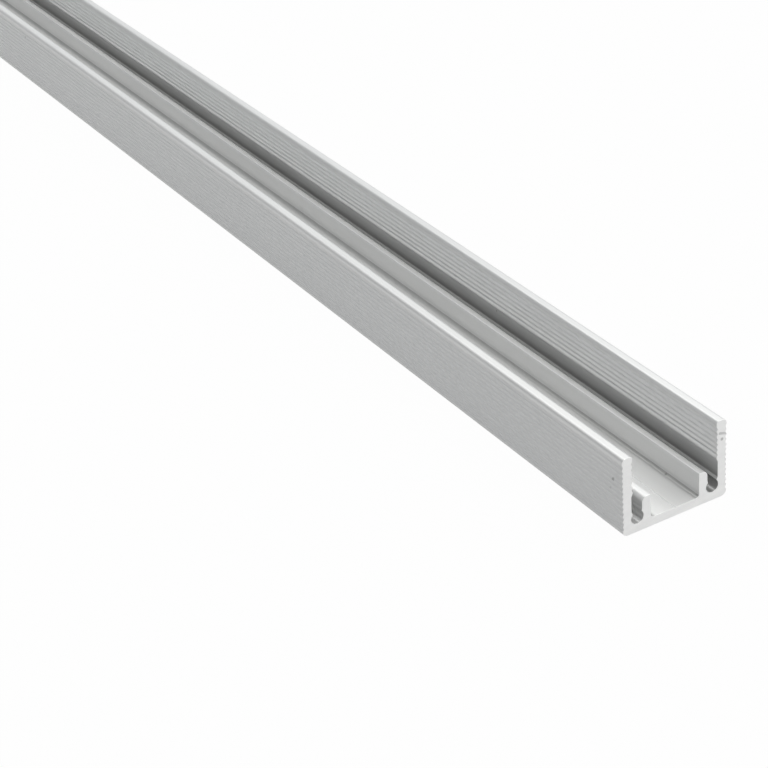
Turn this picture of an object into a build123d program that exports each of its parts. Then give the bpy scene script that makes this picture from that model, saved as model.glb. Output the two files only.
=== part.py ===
"""Aluminium U-channel extrusion for a light strip: one straight length of extruded stock.

The section lies in the YZ plane and is carried along X. The channel lies on its base with the open
side up. The origin is under the middle of the base. Lengths are in millimetres.
"""

import os

from build123d import *

# Stock
profile_length = 1000.0
outer_width = 17.6
outer_height = 12.4

# Base and walls, measured from the serration crests outside to the smooth face inside
base_thickness = 1.4
wall_thickness = 1.5
bottom_corner_radius = 0.85
wall_top_outer_radius = 0.7
wall_top_inner_radius = 0.45

# Ribs beside the walls, their tops and their feet
rib_thickness = 1.45
rib_height = 5.2
rib_slot_edge_radius = 0.85
rib_floor_edge_radius = 0.15
rib_foot_radius = 0.5

# Keyhole slots between rib and wall: a straight slot over a round screw port that is wider than the
# slot and shifted towards the rib. A lip's ramp takes a share of the slot's depth above the lip
slot_width = 1.75
port_overhang = 0.3
port_centre_height = 2.35
port_shift = 0.065
wall_lip = 0.22
rib_lip = 0.11
lip_ramp_share = 0.19

# Serrations: V grooves along the walls, with a narrow land left between them
serration_pitch = 0.82
serration_depth = 0.2
serration_mouth = 0.72
serration_margin = 0.85
inner_band_proud = 0.22
inner_band_foot = 5.95
inner_band_slant = 0.45

# Centre line scribed in the floor
centre_line_width = 0.3
centre_line_depth = 0.14

# How far a cutting shape runs past the face that it cuts
overrun = 0.5

port_radius = (slot_width + port_overhang) / 2
port_inset = slot_width / 2 + port_shift
inner_face = outer_width / 2 - wall_thickness
band_face = inner_face - inner_band_proud
port_offset = inner_face - port_inset
rib_floor_face = inner_face - slot_width - rib_thickness
outer_groove_count = int((outer_height - 2 * serration_margin) / serration_pitch)
inner_groove_room = outer_height - serration_margin - inner_band_foot - inner_band_slant
inner_groove_count = int(inner_groove_room / serration_pitch)
top_groove_height = outer_height / 2 + serration_pitch * (outer_groove_count - 1) / 2


def on_port_circle(across):
    """Height above the port's centre of the port's wall, at a distance across from that centre."""
    return (port_radius**2 - across**2) ** 0.5


def trough():
    """The U: a block with the space between the smooth wall faces taken out down to the floor."""
    block = Rectangle(outer_width, outer_height, align=(Align.CENTER, Align.MIN))
    space = Rectangle(2 * inner_face, outer_height, align=(Align.CENTER, Align.MIN))
    return block - Pos(0, base_thickness) * space


def corner_block():
    """Solid stretch from the right wall to the rib's floor side, up to the rib's top."""
    block = Rectangle(slot_width + rib_thickness, rib_height, align=(Align.MAX, Align.MIN))
    return Pos(inner_face, 0) * block


def keyhole():
    """Right slot with a lip at each side of its foot, and the round port that it opens into."""
    rib_inset = slot_width - port_inset
    wall_tip = port_inset - wall_lip
    rib_tip = rib_inset - rib_lip
    wall_tip_height = on_port_circle(wall_tip)
    rib_tip_height = on_port_circle(rib_tip)
    slot_depth = rib_height - port_centre_height
    wall_ramp_top = wall_tip_height + lip_ramp_share * (slot_depth - wall_tip_height)
    rib_ramp_top = rib_tip_height + lip_ramp_share * (slot_depth - rib_tip_height)
    slot_top = slot_depth + overrun
    slot = Polygon(
        (-rib_inset, slot_top),
        (-rib_inset, rib_ramp_top),
        (-rib_tip, rib_tip_height),
        (wall_tip, wall_tip_height),
        (port_inset, wall_ramp_top),
        (port_inset, slot_top),
    )
    return Pos(port_offset, port_centre_height) * (slot + Circle(port_radius))


def inner_band():
    """Thicker upper half of the right wall, which stands proud of the smooth face above a slant."""
    return Polygon(
        (inner_face, inner_band_foot),
        (inner_face + wall_thickness / 2, inner_band_foot),
        (inner_face + wall_thickness / 2, outer_height),
        (band_face, outer_height),
        (band_face, inner_band_foot + inner_band_slant),
    )


def groove(face, height, inwards):
    """One V groove in a wall face, where inwards is the sign of the way into the metal."""
    half_mouth = serration_mouth / 2
    half_opening = half_mouth * (serration_depth + overrun) / serration_depth
    opening = face - inwards * overrun
    return Polygon(
        (face + inwards * serration_depth, height),
        (opening, height + inwards * half_opening),
        (opening, height - inwards * half_opening),
    )


def serrations():
    """Grooves of the right wall: a full row outside and a row in the band inside, level with it."""
    heights = [top_groove_height - row * serration_pitch for row in range(outer_groove_count)]
    outside = [groove(outer_width / 2, height, -1) for height in heights]
    inside = [groove(band_face, height, 1) for height in heights[:inner_groove_count]]
    return outside + inside


def centre_line():
    """Fine V line along the middle of the floor."""
    half_opening = centre_line_width / 2 * (centre_line_depth + overrun) / centre_line_depth
    return Polygon(
        (0, base_thickness - centre_line_depth),
        (half_opening, base_thickness + overrun),
        (-half_opening, base_thickness + overrun),
    )


def both(shape):
    """A right-hand shape together with its left-hand mirror image."""
    return shape + mirror(shape, about=Plane.YZ)


def rounded(section, across, height, radius):
    """The section with its two corners at this height, right and left, rounded."""
    spots = (Vector(across, height), Vector(-across, height))
    corners = [section.vertices().sort_by_distance(spot)[0] for spot in spots]
    return fillet(corners, radius)


def channel_section():
    """The whole section, with its width along X and its height along Y."""
    section = trough() + both(corner_block()) + both(inner_band()) - both(keyhole())
    section = rounded(section, outer_width / 2, 0, bottom_corner_radius)
    section = rounded(section, outer_width / 2, outer_height, wall_top_outer_radius)
    section = rounded(section, band_face, outer_height, wall_top_inner_radius)
    section = rounded(section, inner_face - slot_width, rib_height, rib_slot_edge_radius)
    section = rounded(section, rib_floor_face, rib_height, rib_floor_edge_radius)
    section = rounded(section, rib_floor_face, base_thickness, rib_foot_radius)
    for cut in serrations():
        section -= both(cut)
    return section - centre_line()


def channel_profile():
    """The section carried along the stock's whole length, half to each side of the origin."""
    back_end = Plane.YZ.offset(-profile_length / 2)
    return extrude(back_end * channel_section(), amount=profile_length)


os.makedirs("parts", exist_ok=True)
export_step(channel_profile(), "parts/channel_profile.step")
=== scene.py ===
"""Dresses the aluminium channel profile: a finely swept body, its finishes, studio and camera.

The body is the profile's section carried along X. Section sizes are in millimetres, as a maker
gives them, and become metres where a mesh is made.
"""

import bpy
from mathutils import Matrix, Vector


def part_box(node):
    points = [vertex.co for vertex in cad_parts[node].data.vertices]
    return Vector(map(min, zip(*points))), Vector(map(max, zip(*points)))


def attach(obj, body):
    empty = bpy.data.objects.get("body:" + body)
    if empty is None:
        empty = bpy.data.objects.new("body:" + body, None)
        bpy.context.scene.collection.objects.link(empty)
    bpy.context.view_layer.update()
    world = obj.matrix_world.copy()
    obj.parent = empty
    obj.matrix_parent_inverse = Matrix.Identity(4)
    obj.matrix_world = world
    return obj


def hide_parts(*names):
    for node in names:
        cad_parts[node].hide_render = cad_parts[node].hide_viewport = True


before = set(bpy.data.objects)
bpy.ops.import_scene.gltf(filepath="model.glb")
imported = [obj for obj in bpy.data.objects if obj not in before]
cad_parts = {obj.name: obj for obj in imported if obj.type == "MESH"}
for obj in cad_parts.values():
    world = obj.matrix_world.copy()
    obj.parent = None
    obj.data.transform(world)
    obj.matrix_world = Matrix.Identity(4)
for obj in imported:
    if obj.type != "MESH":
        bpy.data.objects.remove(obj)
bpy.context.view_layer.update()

import logging
import math
from dataclasses import dataclass
from enum import Enum
from typing import Any

import bpy
import numpy as np
from bpy.types import NodeSocket
from mathutils import Matrix, Vector

log = logging.getLogger("channel")

Triple = tuple[float, float, float]
Span = tuple[float, float]

MM = 0.001
NODE = "channel_profile"
BODY = "root"
IMAGE_SIDE = 768

# The middle of a blend, around which a noise texture swings too
MIDDLE = 0.5
WHITE = (1.0, 1.0, 1.0)
# Places of the colour sockets on a Mix node
MIX_LOW, MIX_HIGH, MIX_RESULT = 6, 7, 2


class Surface(Enum):
    """The body's two finishes, by their place in the mesh's material list."""

    ANODISED = 0
    SAWN = 1


class Number:
    """A float socket on which Python's operators add Math nodes."""

    def __init__(self, bench: "Bench", socket: NodeSocket) -> None:
        """Keeps the socket and the bench whose tree it belongs to."""
        self.bench = bench
        self.socket = socket

    def _math(self, operation: str, *operands: Any) -> "Number":
        """Adds one Math node.

        Args:
            operation: Blender's name for the operation.
            operands: its inputs in order, numbers or sockets.

        Returns:
            The node's result.
        """
        settings = {"operation": operation}
        return self.bench.number("ShaderNodeMath", settings, dict(enumerate(operands)))

    def __add__(self, other: Any) -> "Number":
        """The sum."""
        return self._math("ADD", self, other)

    __radd__ = __add__

    def __sub__(self, other: Any) -> "Number":
        """The difference."""
        return self._math("SUBTRACT", self, other)

    def __rsub__(self, other: Any) -> "Number":
        """The difference, taken from the other."""
        return self._math("SUBTRACT", other, self)

    def __mul__(self, other: Any) -> "Number":
        """The product."""
        return self._math("MULTIPLY", self, other)

    __rmul__ = __mul__

    def __truediv__(self, other: Any) -> "Number":
        """The quotient."""
        return self._math("DIVIDE", self, other)

    def __rtruediv__(self, other: Any) -> "Number":
        """The quotient, with this as the divisor."""
        return self._math("DIVIDE", other, self)

    def __gt__(self, other: Any) -> "Number":
        """1 where this is the greater, and else 0."""
        return self._math("GREATER_THAN", self, other)

    def __lt__(self, other: Any) -> "Number":
        """1 where this is the lesser, and else 0."""
        return self._math("LESS_THAN", self, other)

    def __abs__(self) -> "Number":
        """The value without its sign."""
        return self._math("ABSOLUTE", self)

    def most(self, other: Any) -> "Number":
        """The greater of the two."""
        return self._math("MAXIMUM", self, other)

    def fade(self, start: float, end: float) -> "Number":
        """1 where this is at most start, falling smoothly to 0 at end.

        Args:
            start: where the fall begins.
            end: where it has ended.

        Returns:
            The faded value.
        """
        sockets = {"Value": self, "From Min": start, "From Max": end, "To Min": 1.0, "To Max": 0.0}
        settings = {"interpolation_type": "SMOOTHSTEP"}
        return self.bench.number("ShaderNodeMapRange", settings, sockets, "Result")

    def within(self, rise: Span, fall: Span) -> "Number":
        """1 between two smooth steps, up over the first span and down over the second."""
        return (1 - self.fade(*rise)) * self.fade(*fall)


@dataclass(frozen=True)
class Pattern:
    """A noise pattern of a finish.

    It has its repeat along X, Y and Z in millimetres, how many finer octaves it has, and how far it
    moves the finish's tone and roughness.
    """

    pitch: Triple
    octaves: float
    tone: float
    rough: float = 0.0


class Bench:
    """Adds and links the nodes of one material or world."""

    def __init__(self, owner: bpy.types.Material | bpy.types.World) -> None:
        """Clears the owner's node tree and takes it over."""
        owner.use_nodes = True
        self.tree = owner.node_tree
        self.tree.nodes.clear()

    def node(self, kind: str, settings: dict[str, Any] | None = None,
             sockets: dict[Any, Any] | None = None) -> bpy.types.Node:
        """Adds a node of any type.

        Args:
            kind: the node's type.
            settings: its properties, which are set first.
            sockets: a value or a link for each input, by name or place.

        Returns:
            The new node.
        """
        made = self.tree.nodes.new(kind)
        for name, value in (settings or {}).items():
            setattr(made, name, value)
        for key, value in (sockets or {}).items():
            entry = made.inputs[key]
            source = value.socket if isinstance(value, Number) else value
            if isinstance(source, NodeSocket):
                self.tree.links.new(source, entry)
            else:
                entry.default_value = source
        return made

    def number(self, kind: str, settings: dict[str, Any] | None = None,
               sockets: dict[Any, Any] | None = None, output: Any = 0) -> Number:
        """Adds a node as node() does and wraps one of its outputs.

        Args:
            kind: the node's type.
            settings: its properties.
            sockets: a value or a link for each input.
            output: the output's name or place.

        Returns:
            The output, ready for sums.
        """
        return Number(self, self.node(kind, settings, sockets).outputs[output])

    def millimetres(self) -> NodeSocket:
        """The place on the piece, in millimetres of its own frame."""
        place = self.node("ShaderNodeTexCoord").outputs["Object"]
        return self.vector("SCALE", {0: place, "Scale": 1 / MM})

    def vector(self, operation: str, sockets: dict[Any, Any]) -> NodeSocket:
        """The vector that one Vector Math node gives."""
        made = self.node("ShaderNodeVectorMath", {"operation": operation}, sockets)
        return made.outputs["Vector"]

    def measure(self, operation: str, first: NodeSocket, second: Any) -> Number:
        """The number that one Vector Math node makes of two vectors, such as their distance."""
        sockets = {0: first, 1: second}
        return self.number("ShaderNodeVectorMath", {"operation": operation}, sockets, "Value")

    def noise(self, place: NodeSocket, pattern: Pattern) -> Number:
        """Noise that swings around zero.

        Args:
            place: where the noise is read, in millimetres.
            pattern: its repeat along each axis, and its octaves.

        Returns:
            The noise.
        """
        repeats = tuple(1 / pitch for pitch in pattern.pitch)
        scaled = self.vector("MULTIPLY", {0: place, 1: repeats})
        sockets = {"Vector": scaled, "Scale": 1.0, "Detail": pattern.octaves}
        return self.number("ShaderNodeTexNoise", {}, sockets, "Fac") - MIDDLE

    def blend(self, share: Number, low: Any, high: Any) -> NodeSocket:
        """The colour between two, each a socket or three values, at this share of the way."""
        ends = [end if isinstance(end, NodeSocket) else (*end, 1.0) for end in (low, high)]
        sockets = {"Factor": share, MIX_LOW: ends[0], MIX_HIGH: ends[1]}
        return self.node("ShaderNodeMix", {"data_type": "RGBA"}, sockets).outputs[MIX_RESULT]

    def seen_share(self, by_camera: float, by_reflection: float) -> Number:
        """A share for rays from the camera, another for reflected ones, and 0 for the rest.

        Args:
            by_camera: the share for camera rays.
            by_reflection: the share for glossy and transmission rays.

        Returns:
            The share of the ray at hand.
        """
        path = self.node("ShaderNodeLightPath").outputs
        camera, glossy, through = (
            Number(self, path[f"Is {ray} Ray"]) for ray in ("Camera", "Glossy", "Transmission")
        )
        return (camera * by_camera).most(glossy.most(through) * by_reflection)

    def metal(self, colour: NodeSocket, metallic: float, rough: Number, height: Number,
              relief: float) -> None:
        """Ends a material with one metal shader.

        Args:
            colour: its base colour.
            metallic: how much of a bare metal it is.
            rough: its roughness.
            height: the pattern that its relief follows.
            relief: the height of that pattern's full swing, in millimetres.
        """
        rise = {"Height": height, "Strength": 1.0, "Distance": relief * MM}
        normal = self.node("ShaderNodeBump", {}, rise).outputs["Normal"]
        sockets = {"Base Color": colour, "Metallic": metallic, "Roughness": rough, "Normal": normal}
        shader = self.node("ShaderNodeBsdfPrincipled", {}, sockets)
        self.node("ShaderNodeOutputMaterial", {}, {"Surface": shader.outputs[0]})


@dataclass(frozen=True)
class Mark:
    """A small round spot of dirt on the body.

    It has its place and radius in millimetres, how dark it is, and the share of the radius that its
    even core takes.
    """

    place: Triple
    radius: float
    depth: float
    core: float = 0.3

    def cover(self, bench: Bench, place: NodeSocket) -> Number:
        """How much the spot covers a place: its depth over the core, fading out to the radius."""
        away = bench.measure("DISTANCE", place, self.place)
        return away.fade(self.core * self.radius, self.radius) * self.depth


@dataclass(frozen=True)
class AnodisedFinish:
    """Satin clear anodising on extruded aluminium: die lines along X, fine grain and a few specks.

    Spans of a place in the section are in millimetres, across from the middle or up from the base.
    """

    name: str = "satin_anodised_aluminium"
    metallic: float = 0.5
    roughness: float = 0.30
    relief: float = 0.001

    # Colours of the metal from line to line, of its painted light and painted shade, and of dirt
    dark: Triple = (0.705, 0.708, 0.708)
    light: Triple = (0.765, 0.768, 0.768)
    clear: Triple = (0.865, 0.868, 0.872)
    painted_shade: Triple = (0.30, 0.303, 0.30)
    dirt: Triple = (0.16, 0.16, 0.155)

    lines: Pattern = Pattern((1250.0, 0.18, 0.18), octaves=1.0, tone=0.25, rough=0.06)
    grain: Pattern = Pattern((0.16, 0.16, 0.16), octaves=0.0, tone=0.1)
    clouds: Pattern = Pattern((26.0, 25 / 3, 25 / 3), octaves=1.0, tone=0.6, rough=0.06)

    # Painted shade in the slots and ports, down to the port's lowest point, deeper on the far side
    slot_inside: Span = (4.6, 5.5)
    slot_outside: Span = (7.6, 7.9)
    slot_depths: Span = (3.2, 4.9)
    slot_floor: float = 0.9
    slot_shade: float = 0.70
    near_slot_shade: float = 0.28

    # The ramp of the wall's lip, which the painted shade leaves out
    lip_inside: float = 7.0
    lip_foot: float = 3.06
    lip_heights: Span = (3.42, 3.54)

    # Painted shadow of a rib on the floor along its foot, and painted shade up its side
    foot_inside: Span = (3.1, 3.95)
    foot_outside: Span = (4.05, 4.15)
    foot_heights: Span = (1.70, 1.77)
    foot_shade: float = 0.85
    rib_side: Span = (3.9, 4.0)
    rib_heights: Span = (4.5, 5.15)
    rib_shade: float = 0.20

    # Painted light on the inner bands of the walls
    band_inside: Span = (6.9, 7.05)
    band_outside: Span = (7.4, 7.6)
    band_rise: Span = (4.9, 6.2)
    band_top: Span = (11.5, 11.9)
    band_light: float = 0.75

    # Sparse dots of dirt, one in a few of the cells of this spacing, whose fade is in shares of it
    dot_spacing: float = 13.0
    dot_fade: Span = (0.004, 0.012)
    dot_rarity: float = 0.8
    dot_depth: float = 0.35
    dirt_rough: float = 0.2
    marks: tuple[Mark, ...] = (
        Mark((497.87, -8.75, 8.34), 0.38, 0.5),
        Mark((497.25, -8.75, 6.68), 0.30, 0.18),
        Mark((296.74, -8.75, 10.27), 0.36, 0.45),
        Mark((362.41, -8.75, 3.13), 0.30, 0.4),
        Mark((445.19, 7.2, 5.73), 0.24, 0.5),
        Mark((492.8, 3.85, 1.52), 0.30, 0.7),
    )

    def build(self) -> bpy.types.Material:
        """Makes the material.

        Returns:
            The material, whose patterns follow the piece's own millimetres.
        """
        material = bpy.data.materials.new(self.name)
        bench = Bench(material)
        place = bench.millimetres()
        lines, grain, clouds = (
            bench.noise(place, pattern) for pattern in (self.lines, self.grain, self.clouds)
        )
        dirt = self._dirt(bench, place)
        across, height, far = self._in_section(bench, place)

        tone = lines * self.lines.tone + grain * self.grain.tone + clouds * self.clouds.tone
        even = bench.blend(MIDDLE + tone, self.dark, self.light)
        # Painted light on the walls' inner bands
        lit_tone = bench.blend(self._light_cover(across, height), even, self.clear)
        # Painted shade in the slots and ports and along the ribs
        clean = bench.blend(self._shade_cover(across, height, far), lit_tone, self.painted_shade)
        colour = bench.blend(dirt, clean, self.dirt)
        rough = self.roughness + lines * self.lines.rough + clouds * self.clouds.rough
        bench.metal(colour, self.metallic, rough + dirt * self.dirt_rough, lines, self.relief)
        return material

    def _in_section(self, bench: Bench, place: NodeSocket) -> tuple[Number, Number, Number]:
        """Where a place lies in the section, folded about the middle.

        Args:
            bench: where the nodes go.
            place: the place in millimetres.

        Returns:
            How far across it is, its height, and 1 on the far side or else 0.
        """
        parts = bench.node("ShaderNodeSeparateXYZ", {}, {0: place}).outputs
        side = Number(bench, parts["Y"])
        return abs(side), Number(bench, parts["Z"]), side > 0.0

    def _light_cover(self, across: Number, height: Number) -> Number:
        """How much painted light brightens the metal: up the inner bands of the walls, short of
        their tops.
        """
        face = across.within(self.band_inside, self.band_outside)
        return face * height.within(self.band_rise, self.band_top) * self.band_light

    def _shade_cover(self, across: Number, height: Number, far: Number) -> Number:
        """How much painted shade darkens the metal: in the slots and ports, along a rib's foot and
        up its side.

        The slots' painted shade deepens with depth, less so on the near side, and leaves out the
        ramp of the wall's lip. Along the foot it ends sharply up the rib and fades slowly over the
        floor, as the rib's shadow does.

        Args:
            across: how far across from the middle the place is.
            height: its height.
            far: 1 on the far side, or else 0.

        Returns:
            The share, from 0 to 1.
        """
        # Painted shade in the slots and ports, deeper on the far side, left off the lip's ramp
        slot = across.within(self.slot_inside, self.slot_outside) * height.fade(*self.slot_depths)
        beyond = (across > self.lip_inside) * (height > self.lip_foot)
        lip = beyond * height.fade(*self.lip_heights)
        slot_shade = self.near_slot_shade + far * (self.slot_shade - self.near_slot_shade)
        # Painted shadow along the rib's foot and painted shade up its side
        foot = across.within(self.foot_inside, self.foot_outside) * height.fade(*self.foot_heights)
        side = across.within(self.rib_side, self.foot_outside) * height.fade(*self.rib_heights)
        shade = slot * (1 - lip) * slot_shade
        shade = shade.most(foot * self.foot_shade).most(side * self.rib_shade)
        return shade * (height > self.slot_floor)

    def _dirt(self, bench: Bench, place: NodeSocket) -> Number:
        """How much dirt covers a place: the known marks, and dots in a few of a Voronoi's cells.

        Args:
            bench: where the nodes go.
            place: the place in millimetres.

        Returns:
            The cover, from 0 to 1.
        """
        cells = {"Vector": place, "Scale": 1 / self.dot_spacing}
        dots = bench.node("ShaderNodeTexVoronoi", {}, cells).outputs
        pick = bench.number("ShaderNodeSeparateColor", {}, {0: dots["Color"]}) > self.dot_rarity
        cover = Number(bench, dots["Distance"]).fade(*self.dot_fade) * pick * self.dot_depth
        for mark in self.marks:
            cover = cover.most(mark.cover(bench, place))
        return cover


@dataclass(frozen=True)
class SawnFinish:
    """Bare aluminium as the saw leaves it: pale, rough, with faint arcs and two marks of dirt."""

    name: str = "sawn_aluminium"
    dark: Triple = (0.90, 0.90, 0.90)
    light: Triple = (0.98, 0.98, 0.975)
    dirt: Triple = (0.28, 0.28, 0.275)
    metallic: float = 1.0
    roughness: float = 0.62
    relief: float = 0.012

    # Strokes of the saw's teeth, and wider ones of its passes, as arcs around the blade's centre
    blade_centre: Triple = (0.0, 30.0, -140.0)
    stroke_pitch: float = 0.16
    stroke_octaves: float = 2.0
    stroke_tone: float = 0.5
    stroke_rough: float = 0.12
    strokes_in_pass: float = 7.0
    pass_tone: float = 0.6
    grain: Pattern = Pattern((1 / 9, 1 / 9, 1 / 9), octaves=2.0, tone=0.4, rough=0.1)
    grain_relief: float = 0.4

    # Dirt on the photographed end: a dash, as a row of spots that get fainter, and a dot
    dash_from: Triple = (500.0, 7.62, 10.36)
    dash_to: Triple = (500.0, 8.78, 10.02)
    dash_steps: int = 7
    dash_radius: float = 0.28
    dash_core: float = 0.4
    dash_depths: Span = (0.42, 0.252)
    dot: Mark = Mark((500.0, 7.99, 9.34), 0.36, 0.5, core=0.25)

    def build(self) -> bpy.types.Material:
        """Makes the material.

        Returns:
            The material, whose strokes are arcs around the saw blade's centre.
        """
        material = bpy.data.materials.new(self.name)
        bench = Bench(material)
        place = bench.millimetres()
        flat = bench.vector("MULTIPLY", {0: place, 1: (0.0, 1.0, 1.0)})
        reach = bench.measure("DISTANCE", flat, self.blade_centre)
        strokes = self._strokes(bench, reach, self.stroke_pitch)
        passes = self._strokes(bench, reach, self.stroke_pitch * self.strokes_in_pass)
        grain = bench.noise(place, self.grain)

        tone = strokes * self.stroke_tone + passes * self.pass_tone + grain * self.grain.tone
        clean = bench.blend(MIDDLE + tone, self.dark, self.light)
        colour = bench.blend(self._dirt(bench, place), clean, self.dirt)
        rough = self.roughness + strokes * self.stroke_rough + grain * self.grain.rough
        height = strokes + grain * self.grain_relief
        bench.metal(colour, self.metallic, rough, height, self.relief)
        return material

    def _strokes(self, bench: Bench, reach: Number, pitch: float) -> Number:
        """Noise around zero along the reach from the blade's centre, so that its lines are arcs."""
        settings = {"noise_dimensions": "1D"}
        sockets = {"W": reach / pitch, "Scale": 1.0, "Detail": self.stroke_octaves}
        return bench.number("ShaderNodeTexNoise", settings, sockets, "Fac") - MIDDLE

    def _dirt(self, bench: Bench, place: NodeSocket) -> Number:
        """How much dirt covers a place of the photographed end.

        Args:
            bench: where the nodes go.
            place: the place in millimetres.

        Returns:
            The cover, from 0 to 1.
        """
        cover = self.dot.cover(bench, place)
        spots = np.linspace(self.dash_from, self.dash_to, self.dash_steps)
        depths = np.linspace(*self.dash_depths, self.dash_steps)
        for spot, depth in zip(spots.tolist(), depths.tolist()):
            mark = Mark(tuple(spot), self.dash_radius, depth, self.dash_core)
            cover = cover.most(mark.cover(bench, place))
        return cover


@dataclass(frozen=True)
class Section:
    """The channel's section in millimetres, and the rounded outline that its sizes give."""

    width: float
    height: float

    # Base and walls
    base: float = 1.4
    wall: float = 1.5
    bottom_radius: float = 0.85
    top_outer_radius: float = 0.7
    top_inner_radius: float = 0.45

    # Ribs
    rib: float = 1.45
    rib_height: float = 5.2
    rib_slot_radius: float = 0.85
    rib_floor_radius: float = 0.15
    rib_foot_radius: float = 0.5

    # Slots, their lips and the ports below; lip_turn is the angle from a port's arc to a lip's tip
    slot: float = 1.75
    port_radius: float = 1.025
    port_height: float = 2.35
    port_inset: float = 0.94
    port_corners: int = 4
    wall_lip: float = 0.22
    rib_lip: float = 0.11
    lip_ramp_share: float = 0.19
    lip_radius: float = 0.08
    lip_turn: float = 0.14

    # Grooves, the proud bands that carry the inner ones, and the line along the floor
    pitch: float = 0.82
    groove_depth: float = 0.2
    groove_mouth: float = 0.72
    crest_radius: float = 0.18
    root_radius: float = 0.30
    outer_grooves: int = 13
    inner_grooves: int = 6
    band_proud: float = 0.22
    band_foot: float = 5.95
    band_slant: float = 0.45
    step_radius: float = 0.12
    line_width: float = 0.3
    line_depth: float = 0.14
    line_radius: float = 0.06

    # Points on each rounding, and the distance at which two points count as one
    arc_steps: int = 8
    closest: float = 0.0005

    def outline(self) -> tuple[np.ndarray, np.ndarray]:
        """The rounded outline and its outward normals.

        At each corner the outline leaves one edge at radius times tan(half the turn) before the
        corner, and runs on an arc until it is on the next edge. The normal turns with it. Of two
        points that fall together, as where one arc of a port follows another, one is kept.

        Returns:
            Rows of place across and height, and as many normals.
        """
        points, radii = self._corners()
        edge = np.roll(points, -1, axis=0) - points
        edge /= np.linalg.norm(edge, axis=1, keepdims=True)
        before = np.roll(edge, 1, axis=0)
        cross = before[:, 0] * edge[:, 1] - before[:, 1] * edge[:, 0]
        turn = np.arctan2(cross, (before * edge).sum(1))
        start = points - before * (radii * np.tan(np.abs(turn) / 2))[:, None]
        normal = np.stack([before[:, 1], -before[:, 0]], axis=-1)
        bend = (np.sign(turn) * radii)[:, None]
        centre = start - normal * bend
        angle = turn[:, None] * np.linspace(0.0, 1.0, self.arc_steps)
        cos, sin = np.cos(angle), np.sin(angle)
        across = normal[:, :1] * cos - normal[:, 1:] * sin
        up = normal[:, :1] * sin + normal[:, 1:] * cos
        normals = np.stack([across, up], axis=-1)
        curve = (centre[:, None] + normals * bend[:, None]).reshape(-1, 2)
        apart = np.linalg.norm(curve - np.roll(curve, 1, axis=0), axis=1) > self.closest
        return curve[apart], normals.reshape(-1, 2)[apart]

    def _corners(self) -> tuple[np.ndarray, np.ndarray]:
        """Every corner, counter-clockwise from the right bottom one, with its radius.

        Returns:
            The corners as rows of place across and height, and the radii.
        """
        side = self.width / 2
        inner = side - self.wall
        band = inner - self.band_proud
        band_edge = self.band_foot + self.band_slant
        rib_side = inner - self.slot
        floor_side = rib_side - self.rib
        crests = [self.crest_radius, self.root_radius, self.crest_radius]
        lip = [self.lip_radius] * 2
        parts = [
            ([[side, 0.0]], [self.bottom_radius]),
            (self._grooves(side, -1, self.outer_grooves)[::-1], crests * self.outer_grooves),
            ([[side, self.height]], [self.top_outer_radius]),
            ([[band, self.height]], [self.top_inner_radius]),
            (self._grooves(band, 1, self.inner_grooves), crests * self.inner_grooves),
            ([[band, band_edge], [inner, self.band_foot]], [self.step_radius] * 2),
            (self._port(), lip + [self.port_radius] * self.port_corners + lip),
            ([[rib_side, self.rib_height]], [self.rib_slot_radius]),
            ([[floor_side, self.rib_height]], [self.rib_floor_radius]),
            ([[floor_side, self.base]], [self.rib_foot_radius]),
            ([[self.line_width / 2, self.base]], [self.line_radius]),
        ]
        right = np.concatenate([np.asarray(points, float) for points, _ in parts])
        radii = np.concatenate([np.asarray(values, float) for _, values in parts])
        middle = np.array([[0.0, self.base - self.line_depth]])
        corners = np.concatenate([right, middle, right[::-1] * [-1, 1]])
        return corners, np.concatenate([radii, [self.line_radius], radii[::-1]])

    def _grooves(self, face: float, inwards: int, count: int) -> np.ndarray:
        """Corners of a row of V grooves, from the top one down.

        Each groove has its upper mouth edge, its root and its lower mouth edge.

        Args:
            face: how far across the wall's face lies.
            inwards: the sign of the way into the metal.
            count: how many grooves there are.

        Returns:
            Rows of place across and height.
        """
        top = self.height / 2 + self.pitch * (self.outer_grooves - 1) / 2
        middles = top - self.pitch * np.arange(count)
        half = self.groove_mouth / 2
        heights = middles[:, None] + np.array([half, 0.0, -half])
        across = np.tile([face, face + inwards * self.groove_depth, face], (count, 1))
        return np.stack([across, heights], axis=-1).reshape(-1, 2)

    def _port(self) -> np.ndarray:
        """Corners of the lips and of the port between them, from the wall's lip to the rib's.

        The port is a polygon around its circle. Each of its sides touches the circle, so a rounding
        of the circle's own radius at each corner gives the circle back. A lip's tip is where the
        tangent at the arc's end meets the lip's ramp.

        Returns:
            Rows of place across and height: ramp, tip, the port's corners, tip and ramp.
        """
        centre = np.array([self.width / 2 - self.wall - self.port_inset, self.port_height])
        depth = self.rib_height - self.port_height
        sides = np.array([self.port_inset, self.port_inset - self.slot])
        tips = sides + np.array([-self.wall_lip, self.rib_lip])
        lifts = np.sqrt(self.port_radius**2 - tips**2)
        ramps = np.stack([sides, lifts + self.lip_ramp_share * (depth - lifts)], axis=-1)
        start = np.arctan2(lifts[0], tips[0]) - self.lip_turn
        end = np.arctan2(lifts[1], tips[1]) - 2 * np.pi + self.lip_turn
        edges = np.linspace(start, end, self.port_corners + 1)
        middles = (edges[:-1] + edges[1:]) / 2
        reach = self.port_radius / np.cos((edges[0] - edges[1]) / 2)
        corners = reach * np.stack([np.cos(middles), np.sin(middles)], axis=-1)
        ends = edges[[0, -1]]
        normals = np.stack([np.cos(ends), np.sin(ends)], axis=-1)
        along = np.stack([tips, lifts], axis=-1) - ramps
        share = (self.port_radius - (ramps * normals).sum(1)) / (along * normals).sum(1)
        points = ramps + along * share[:, None]
        return centre + np.concatenate([ramps[:1], points[:1], corners, points[1:], ramps[1:]])


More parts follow.
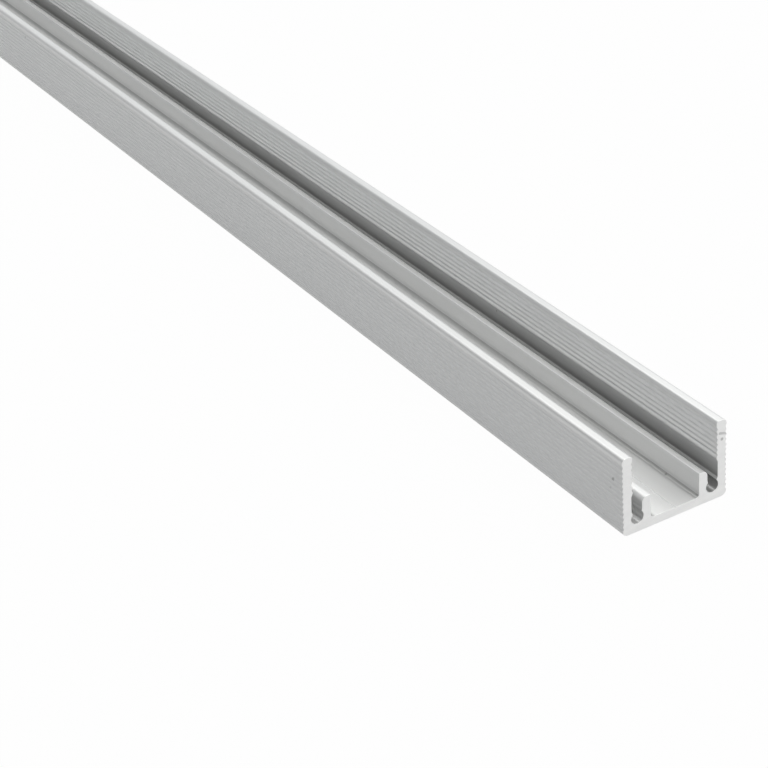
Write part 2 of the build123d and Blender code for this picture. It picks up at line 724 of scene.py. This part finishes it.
@dataclass
class ChannelBody:
    """The whole profile as one closed mesh: the section carried along X, with slightly eased ends.

    The length is divided into strips, which lie one above the other in the UV map, with the two cut
    ends above them. Strip and cap sizes are shares of that map.
    """

    section: Section
    length: float
    anodised: AnodisedFinish
    sawn: SawnFinish
    ease: float = 0.05
    strips: int = 3
    stations_per_strip: int = 8
    strip_height: float = 0.275
    strip_gap: float = 0.01
    cap_height: float = 0.115
    name: str = "channel_body"

    def build(self) -> bpy.types.Object:
        """Returns:
            The new object.
        """
        mesh = self._mesh()
        self._dress(mesh)
        body = bpy.data.objects.new(self.name, mesh)
        bpy.context.scene.collection.objects.link(body)
        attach(body, BODY)
        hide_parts(NODE)
        return body

    def _dress(self, mesh: bpy.types.Mesh) -> None:
        """Gives the mesh its two finishes, in the order that Surface names them."""
        mesh.materials.append(self.anodised.build())
        mesh.materials.append(self.sawn.build())

    def _mesh(self) -> bpy.types.Mesh:
        """Sweeps the outline along X and closes it with a flat face at each end.

        Returns:
            The mesh, in metres.
        """
        points, shading = self._rings()
        stations, count, _ = points.shape
        quads = (stations - 1) * count
        loops = self._loops(stations, count)
        starts = np.concatenate([np.arange(quads) * 4, quads * 4 + np.array([0, count])])
        finish = np.full(len(starts), Surface.ANODISED.value, np.int32)
        finish[:count] = Surface.SAWN.value
        finish[quads - count:] = Surface.SAWN.value

        mesh = bpy.data.meshes.new(self.name)
        mesh.vertices.add(stations * count)
        mesh.vertices.foreach_set("co", (points * MM).astype(np.float32).ravel())
        mesh.loops.add(len(loops))
        mesh.loops.foreach_set("vertex_index", loops.astype(np.int32))
        mesh.polygons.add(len(starts))
        mesh.polygons.foreach_set("loop_start", starts.astype(np.int32))
        mesh.polygons.foreach_set("material_index", finish)
        mesh.polygons.foreach_set("use_smooth", np.ones(len(starts), bool))
        layer = mesh.uv_layers.new(name="OFBake")
        layer.uv.foreach_set("vector", self._unwrap(points, loops).astype(np.float32).ravel())
        mesh.update(calc_edges=True)
        mesh.validate()
        mesh.normals_split_custom_set(shading.reshape(-1, 3)[loops])
        return mesh

    def _rings(self) -> tuple[np.ndarray, np.ndarray]:
        """Carries the outline along X.

        A point of the body is (station, outline across, outline height). At the two ends the
        outline is drawn in along its normals by the ease. Shading normals are the outline's own
        along the body and turn to the end's own way over the eased edge.

        Returns:
            The points and their shading normals, by station and place on the outline.
        """
        outline, normals = self.section.outline()
        half = self.length / 2
        inner = np.linspace(-half, half, self.strips * self.stations_per_strip + 1)
        inner[[0, -1]] += [self.ease, -self.ease]
        stations = np.concatenate([[-half], inner, [half]])
        drawn = np.zeros(len(stations))
        drawn[[0, -1]] = self.ease
        points = np.empty((len(stations), len(outline), 3))
        points[..., 0] = stations[:, None]
        points[..., 1:] = outline - normals * drawn[:, None, None]
        shading = np.zeros_like(points)
        shading[..., 0] = (np.sign(stations) * (drawn > 0))[:, None]
        shading[..., 1:] = normals * (drawn == 0)[:, None, None]
        return points, shading

    def _loops(self, stations: int, count: int) -> np.ndarray:
        """The point at each face corner, with every face wound to look outwards.

        Face number station times count plus point joins that point and the next one round the
        outline to the same two at the next station. The two cut ends come last.

        Args:
            stations: how many rings there are.
            count: how many points each ring has.

        Returns:
            The points' numbers, face after face.
        """
        ring, point = np.divmod(np.arange((stations - 1) * count), count)
        near, far, after = ring * count, (ring + 1) * count, (point + 1) % count
        quads = np.stack([near + point, near + after, far + after, far + point], axis=-1)
        end = np.arange(count)
        return np.concatenate([quads.ravel(), end[::-1], (stations - 1) * count + end])

    def _unwrap(self, points: np.ndarray, loops: np.ndarray) -> np.ndarray:
        """Lays the faces out flat, for baking.

        In a strip, the way along X runs to the right and the way round the outline upwards. The two
        cut ends lie beside each other above the strips, each with its eased edge around it.

        Args:
            points: the mesh's points, by station and place on the outline.
            loops: the point at each face corner.

        Returns:
            The place in the map of each face corner.
        """
        stations, count, _ = points.shape
        quads = (stations - 1) * count
        ring, point = np.divmod(np.arange(quads), count)
        corner = loops[: quads * 4].reshape(-1, 4)
        corner_ring, corner_point = np.divmod(corner, count)

        curve = points[1, :, 1:]
        steps = np.linalg.norm(np.roll(curve, -1, axis=0) - curve, axis=1)
        around = np.concatenate([[0.0], np.cumsum(steps)]) / steps.sum()
        wrapped = (corner_point == 0) & (point[:, None] == count - 1)
        place = around[corner_point + wrapped * count]
        strip = np.clip((ring - 1) // self.stations_per_strip, 0, self.strips - 1)
        begin = points[1 + strip * self.stations_per_strip, 0, 0]
        along = (points[corner_ring, 0, 0] - begin[:, None]) * self.strips / self.length
        rise = self.strip_height + self.strip_gap
        u = self.strip_gap + along * (1 - 2 * self.strip_gap)
        v = self.strip_gap + strip[:, None] * rise + place * self.strip_height
        body = np.stack([u, v], axis=-1)

        scale = self.cap_height / self.section.height
        flat = (points.reshape(-1, 3)[:, 1:] + [self.section.width / 2, 0.0]) * scale
        flat += [2 * self.strip_gap, self.strip_gap + self.strips * rise]
        flat[(stations // 2) * count:, 0] += self.section.width * scale + 2 * self.strip_gap
        on_rim = (ring == 0) | (ring == stations - 2)
        body[on_rim] = flat[corner[on_rim]]
        return np.concatenate([body.reshape(-1, 2), flat[loops[quads * 4:]]])


@dataclass(frozen=True)
class PaperFinish:
    """White studio paper, which keeps a faint shadow of what stands on it."""

    name: str = "studio_paper"
    colour: Triple = (0.42, 0.42, 0.42)
    fibre: Pattern = Pattern((50.0, 50.0, 50.0), octaves=2.0, tone=1.0)
    fibre_depth: float = 0.01
    roughness: float = 0.9
    white_to_camera: float = 0.98
    white_to_reflections: float = 0.59

    def build(self) -> bpy.types.Material:
        """Makes the material: matt paper mixed with plain white for the rays that see it."""
        material = bpy.data.materials.new(self.name)
        bench = Bench(material)
        fibre = MIDDLE + bench.noise(bench.millimetres(), self.fibre) * self.fibre.tone
        shaded = tuple(value - self.fibre_depth for value in self.colour)
        tone = bench.blend(fibre, shaded, self.colour)
        sockets = {"Base Color": tone, "Roughness": self.roughness}
        paper = bench.node("ShaderNodeBsdfPrincipled", {}, sockets).outputs[0]
        white = bench.node("ShaderNodeEmission", {}, {"Strength": 1.0}).outputs[0]
        share = bench.seen_share(self.white_to_camera, self.white_to_reflections)
        mixed = bench.node("ShaderNodeMixShader", {}, {0: share, 1: paper, 2: white})
        bench.node("ShaderNodeOutputMaterial", {}, {"Surface": mixed.outputs[0]})
        return material


def direction(azimuth: float, elevation: float) -> Vector:
    """The unit vector towards a place in the sky, from degrees; azimuth 0 is +X and 90 is +Y."""
    turn, rise = math.radians(azimuth), math.radians(elevation)
    level = math.cos(rise)
    return Vector((math.cos(turn) * level, math.sin(turn) * level, math.sin(rise)))


@dataclass(frozen=True)
class Softlight:
    """A wide lamp far away: where it shines from, how wide it looks and how strong it is."""

    name: str
    azimuth: float
    elevation: float
    spread: float
    strength: float
    colour: Triple = (1.0, 0.988, 0.945)

    def build(self) -> bpy.types.Object:
        """Makes the lamp as a sun of that spread, whose light is the same all over the floor."""
        lamp = bpy.data.lights.new(self.name, "SUN")
        lamp.energy = self.strength
        lamp.color = self.colour
        lamp.angle = math.radians(self.spread)
        holder = bpy.data.objects.new(self.name, lamp)
        towards = direction(self.azimuth, self.elevation)
        holder.rotation_euler = towards.to_track_quat("Z", "Y").to_euler()
        bpy.context.scene.collection.objects.link(holder)
        return holder


@dataclass(frozen=True)
class Studio:
    """Floor, surrounding light and lamp.

    The camera sees white all round. The light that reaches the part falls off smoothly from the
    bright side, behind the part, to the dimmer side where the photographer stands, because the
    photographed metal mirrors a dimmer room there. A pale backdrop stands all round, low down.
    """

    paper: PaperFinish = PaperFinish()
    lamp: Softlight = Softlight("overhead_light", 62.0, 75.0, 112.0, 2.5)
    floor_side: float = 60.0
    sky: Triple = (0.945, 0.972, 1.0)
    bright: float = 0.66
    dim: float = 0.16
    bright_azimuth: float = 105.0
    bright_elevation: float = 35.0

    # The light falls between these cosines of the angle from the bright side's middle
    fall_start: float = 0.75
    fall_end: float = -0.35

    # The backdrop's strength, and the sines of elevation between which it fades out
    backdrop: float = 0.52
    backdrop_rise: Span = (0.08, 0.5)

    def build(self) -> bpy.types.Object:
        """Makes the studio.

        Returns:
            The floor.
        """
        self._surround()
        self.lamp.build()
        return self._floor()

    def _surround(self) -> None:
        """Makes the world: white to the camera, and the falling light to all other rays."""
        world = bpy.data.worlds.new("studio_white")
        bpy.context.scene.world = world
        bench = Bench(world)
        way = bench.node("ShaderNodeTexCoord").outputs["Generated"]
        middle = direction(self.bright_azimuth, self.bright_elevation)
        fall = bench.measure("DOT_PRODUCT", way, middle).fade(self.fall_end, self.fall_start)
        rise = bench.number("ShaderNodeSeparateXYZ", {}, {0: way}, "Z")
        room = self.bright - fall * (self.bright - self.dim)
        light = room.most(rise.fade(*self.backdrop_rise) * self.backdrop)
        seen = bench.seen_share(1.0, 0.0)
        sockets = {"Color": bench.blend(seen, self.sky, WHITE), "Strength": light.most(seen)}
        white = bench.node("ShaderNodeBackground", {}, sockets)
        bench.node("ShaderNodeOutputWorld", {}, {"Surface": white.outputs[0]})

    def _floor(self) -> bpy.types.Object:
        """Makes the floor, a level square at the height of the part's base."""
        reach = np.array([-0.5, 0.5]) * self.floor_side
        across, along = np.meshgrid(reach, reach)
        verts = np.stack([across, along, np.zeros_like(across)], axis=-1).reshape(-1, 3)
        mesh = bpy.data.meshes.new("studio_floor")
        mesh.from_pydata(verts.tolist(), [], [(0, 1, 3, 2)])
        mesh.materials.append(self.paper.build())
        floor = bpy.data.objects.new("studio_floor", mesh)
        bpy.context.scene.collection.objects.link(floor)
        return floor


@dataclass(frozen=True)
class PhotoCamera:
    """The camera that took the photograph, in millimetres, degrees and pixels of the picture."""

    place: Triple = (699.647, -152.277, 171.029)
    azimuth: float = 61.420
    elevation: float = 30.529
    roll: float = 4.749
    focal_pixels: float = 2197.9
    sensor: float = 36.0
    nearest: float = 10.0
    farthest: float = 200000.0

    def build(self) -> bpy.types.Object:
        """Makes the camera and sets it as the scene's.

        Returns:
            The camera object.
        """
        turn, rise, roll = map(math.radians, (self.azimuth, self.elevation, self.roll))
        level = math.cos(rise)
        ahead = Vector((-math.sin(turn) * level, math.cos(turn) * level, -math.sin(rise)))
        flat = ahead.cross(Vector((0.0, 0.0, 1.0))).normalized()
        right = flat * math.cos(roll) + ahead.cross(flat) * math.sin(roll)
        up = right.cross(ahead)
        data = bpy.data.cameras.new("photo_camera")
        data.sensor_width = self.sensor
        data.lens = self.sensor * self.focal_pixels / IMAGE_SIDE
        data.clip_start, data.clip_end = self.nearest * MM, self.farthest * MM
        camera = bpy.data.objects.new("photo_camera", data)
        matrix = Matrix((right, up, -ahead)).transposed().to_4x4()
        matrix.translation = Vector(self.place) * MM
        camera.matrix_world = matrix
        bpy.context.scene.collection.objects.link(camera)
        bpy.context.scene.camera = camera
        return camera


def main() -> None:
    """Builds the body, the studio and the camera, in that order."""
    logging.basicConfig(level=logging.INFO, format="%(name)s: %(message)s")
    bpy.context.scene.view_settings.view_transform = "Standard"
    low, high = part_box(NODE)
    size = (high - low) / MM
    section = Section(width=size.y, height=size.z)
    body = ChannelBody(section, size.x, AnodisedFinish(), SawnFinish()).build()
    log.info("%s: %d faces, stands for %s", body.name, len(body.data.polygons), NODE)
    floor = Studio().build()
    log.info("%s: level at the base", floor.name)
    camera = PhotoCamera().build()
    log.info("%s: lens %.1f mm", camera.name, camera.data.lens)


if __name__ == "__main__":
    main()
